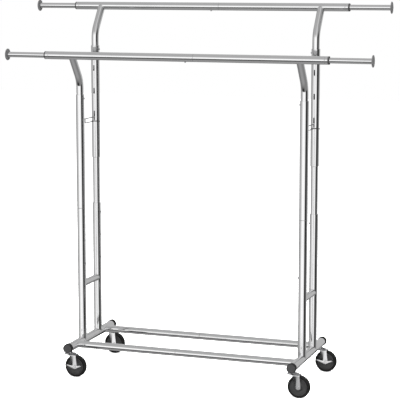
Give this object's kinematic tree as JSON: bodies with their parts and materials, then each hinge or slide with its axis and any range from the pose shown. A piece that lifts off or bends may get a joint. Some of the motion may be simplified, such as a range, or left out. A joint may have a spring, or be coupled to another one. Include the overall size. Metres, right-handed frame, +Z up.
{
  "type": "rolling clothes rack",
  "caption": "Chromed tube clothes rack with a low front and a high rear hang rod, pull-out rod ends, height-adjustable posts and swivel casters, some with brakes.",
  "frame": {"origin": "on the floor under the middle of the rack", "axes": "+X along the hang rods, +Y from the low front rod towards the high rear rod, +Z up"},
  "size_m": [1.6706, 0.5274, 1.6763],
  "materials": {
    "chrome": "polished chrome plate on steel tube",
    "steel": "bright zinc plate",
    "black_plastic": "moulded, fine texture",
    "grey_plastic": "moulded, fine texture",
    "wheel_rubber": "grey-black rubber tread"
  },
  "bodies": {
    "base": {"foot_left": "chrome", "end_frame_left": "chrome", "foot_cap_front_left": "black_plastic", "bottom_rail_front_left": "chrome", "caster_stem_front_left": "steel", "foot_cap_rear_left": "black_plastic", "bottom_rail_rear_left": "chrome", "caster_stem_rear_left": "steel", "foot_right": "chrome", "end_frame_right": "chrome", "foot_cap_front_right": "black_plastic", "bottom_rail_front_right": "chrome", "caster_stem_front_right": "steel", "foot_cap_rear_right": "black_plastic", "bottom_rail_rear_right": "chrome", "caster_stem_rear_right": "steel"},
    "front_rail": {"upper_post_front_left": "chrome", "hang_rod_front_left": "chrome", "rod_bush_front_left": "black_plastic", "upper_post_front_right": "chrome", "hang_rod_front_right": "chrome", "rod_bush_front_right": "black_plastic"},
    "pull_out_front_left": {"pull_out_rod_front_left": "chrome", "rod_end_disc_front_left": "grey_plastic"},
    "arm_button_front_left": {"arm_button_front_left": "steel"},
    "height_button_front_left": {"height_button_front_left": "steel"},
    "pull_out_front_right": {"pull_out_rod_front_right": "chrome", "rod_end_disc_front_right": "grey_plastic"},
    "arm_button_front_right": {"arm_button_front_right": "steel"},
    "height_button_front_right": {"height_button_front_right": "steel"},
    "rod_button_front": {"rod_button_front": "steel"},
    "rail_button_front": {"rail_button_front": "steel"},
    "rear_rail": {"upper_post_rear_left": "chrome", "hang_rod_rear_left": "chrome", "rod_bush_rear_left": "black_plastic", "upper_post_rear_right": "chrome", "hang_rod_rear_right": "chrome", "rod_bush_rear_right": "black_plastic"},
    "pull_out_rear_left": {"pull_out_rod_rear_left": "chrome", "rod_end_disc_rear_left": "grey_plastic"},
    "arm_button_rear_left": {"arm_button_rear_left": "steel"},
    "height_button_rear_left": {"height_button_rear_left": "steel"},
    "pull_out_rear_right": {"pull_out_rod_rear_right": "chrome", "rod_end_disc_rear_right": "grey_plastic"},
    "arm_button_rear_right": {"arm_button_rear_right": "steel"},
    "height_button_rear_right": {"height_button_rear_right": "steel"},
    "rod_button_rear": {"rod_button_rear": "steel"},
    "rail_button_rear": {"rail_button_rear": "steel"},
    "wire_clip_left": {"wire_clip_left": "steel"},
    "wire_clip_right": {"wire_clip_right": "steel"},
    "caster_front_left": {"caster_fork_front_left": "chrome"},
    "wheel_front_left": {"wheel_front_left": "wheel_rubber"},
    "brake_front_left": {"brake_lever_front_left": "chrome"},
    "caster_rear_left": {"caster_fork_rear_left": "chrome"},
    "wheel_rear_left": {"wheel_rear_left": "wheel_rubber"},
    "caster_front_right": {"caster_fork_front_right": "chrome"},
    "wheel_front_right": {"wheel_front_right": "wheel_rubber"},
    "caster_rear_right": {"caster_fork_rear_right": "chrome"},
    "wheel_rear_right": {"wheel_rear_right": "wheel_rubber"},
    "brake_rear_right": {"brake_lever_rear_right": "chrome"}
  },
  "joints": [
    {"name": "front_height", "type": "slide", "parent": "base", "child": "front_rail", "axis": [0, 0, 1], "range_m": [0, 0.212], "deforming": ["height_button_front_left", "height_button_front_right"]},
    {"name": "pull_out_front_left", "type": "slide", "parent": "front_rail", "child": "pull_out_front_left", "axis": [-1, 0, 0], "range_m": [-0.182, 0.0597]},
    {"name": "arm_button_front_left_press", "type": "slide", "parent": "front_rail", "child": "arm_button_front_left", "axis": [-1, 0, 0], "range_m": [0, 0.0065], "stiffness_N_per_m": 1200},
    {"name": "height_button_front_left_press", "type": "slide", "parent": "front_rail", "child": "height_button_front_left", "axis": [-1, 0, 0], "range_m": [0, 0.0065], "stiffness_N_per_m": 1200},
    {"name": "pull_out_front_right", "type": "slide", "parent": "front_rail", "child": "pull_out_front_right", "axis": [1, 0, 0], "range_m": [-0.182, 0.0597]},
    {"name": "arm_button_front_right_press", "type": "slide", "parent": "front_rail", "child": "arm_button_front_right", "axis": [1, 0, 0], "range_m": [0, 0.0065], "stiffness_N_per_m": 1200},
    {"name": "height_button_front_right_press", "type": "slide", "parent": "front_rail", "child": "height_button_front_right", "axis": [1, 0, 0], "range_m": [0, 0.0065], "stiffness_N_per_m": 1200},
    {"name": "rod_button_front_press", "type": "slide", "parent": "front_rail", "child": "rod_button_front", "axis": [0, 0, 1], "range_m": [0, 0.0056], "stiffness_N_per_m": 1200},
    {"name": "rail_button_front_press", "type": "slide", "parent": "base", "child": "rail_button_front", "axis": [0, 0.9511, 0.309], "range_m": [0, 0.0056], "stiffness_N_per_m": 1200},
    {"name": "rear_height", "type": "slide", "parent": "base", "child": "rear_rail", "axis": [0, 0, 1], "range_m": [-0.212, 0], "deforming": ["height_button_rear_left", "height_button_rear_right"]},
    {"name": "pull_out_rear_left", "type": "slide", "parent": "rear_rail", "child": "pull_out_rear_left", "axis": [-1, 0, 0], "range_m": [-0.182, 0.0597]},
    {"name": "arm_button_rear_left_press", "type": "slide", "parent": "rear_rail", "child": "arm_button_rear_left", "axis": [-1, 0, 0], "range_m": [0, 0.0065], "stiffness_N_per_m": 1200},
    {"name": "height_button_rear_left_press", "type": "slide", "parent": "rear_rail", "child": "height_button_rear_left", "axis": [-1, 0, 0], "range_m": [0, 0.0065], "stiffness_N_per_m": 1200},
    {"name": "pull_out_rear_right", "type": "slide", "parent": "rear_rail", "child": "pull_out_rear_right", "axis": [1, 0, 0], "range_m": [-0.182, 0.0597]},
    {"name": "arm_button_rear_right_press", "type": "slide", "parent": "rear_rail", "child": "arm_button_rear_right", "axis": [1, 0, 0], "range_m": [0, 0.0065], "stiffness_N_per_m": 1200},
    {"name": "height_button_rear_right_press", "type": "slide", "parent": "rear_rail", "child": "height_button_rear_right", "axis": [1, 0, 0], "range_m": [0, 0.0065], "stiffness_N_per_m": 1200},
    {"name": "rod_button_rear_press", "type": "slide", "parent": "rear_rail", "child": "rod_button_rear", "axis": [0, 0, 1], "range_m": [0, 0.0056], "stiffness_N_per_m": 1200},
    {"name": "rail_button_rear_press", "type": "slide", "parent": "base", "child": "rail_button_rear", "axis": [0, 0.9511, 0.309], "range_m": [0, 0.0056], "stiffness_N_per_m": 1200},
    {"name": "wire_clip_left_swing", "type": "hinge", "parent": "front_rail", "child": "wire_clip_left", "pos_m": [-0.52, -0.0655, 1.1471], "axis": [-1, 0, 0], "range_deg": [0, 60]},
    {"name": "wire_clip_right_swing", "type": "hinge", "parent": "front_rail", "child": "wire_clip_right", "pos_m": [0.52, -0.0655, 1.1471], "axis": [-1, 0, 0], "range_deg": [0, 60]},
    {"name": "swivel_front_left", "type": "hinge", "parent": "base", "child": "caster_front_left", "pos_m": [-0.52, -0.2285, 0.1], "axis": [0, 0, 1], "continuous": true},
    {"name": "roll_front_left", "type": "hinge", "parent": "caster_front_left", "child": "wheel_front_left", "pos_m": [-0.493, -0.2285, 0.05], "axis": [0, 1, 0], "continuous": true},
    {"name": "brake_front_left", "type": "hinge", "parent": "caster_front_left", "child": "brake_front_left", "pos_m": [-0.493, -0.2285, 0.05], "axis": [0, 1, 0], "range_deg": [0, 20]},
    {"name": "swivel_rear_left", "type": "hinge", "parent": "base", "child": "caster_rear_left", "pos_m": [-0.52, 0.2285, 0.1], "axis": [0, 0, 1], "continuous": true},
    {"name": "roll_rear_left", "type": "hinge", "parent": "caster_rear_left", "child": "wheel_rear_left", "pos_m": [-0.493, 0.2285, 0.05], "axis": [0, 1, 0], "continuous": true},
    {"name": "swivel_front_right", "type": "hinge", "parent": "base", "child": "caster_front_right", "pos_m": [0.52, -0.2285, 0.1], "axis": [0, 0, 1], "continuous": true},
    {"name": "roll_front_right", "type": "hinge", "parent": "caster_front_right", "child": "wheel_front_right", "pos_m": [0.547, -0.2285, 0.05], "axis": [0, 1, 0], "continuous": true},
    {"name": "swivel_rear_right", "type": "hinge", "parent": "base", "child": "caster_rear_right", "pos_m": [0.52, 0.2285, 0.1], "axis": [0, 0, 1], "continuous": true},
    {"name": "roll_rear_right", "type": "hinge", "parent": "caster_rear_right", "child": "wheel_rear_right", "pos_m": [0.547, 0.2285, 0.05], "axis": [0, 1, 0], "continuous": true},
    {"name": "brake_rear_right", "type": "hinge", "parent": "caster_rear_right", "child": "brake_rear_right", "pos_m": [0.547, 0.2285, 0.05], "axis": [0, 1, 0], "range_deg": [0, 20]}
  ]
}
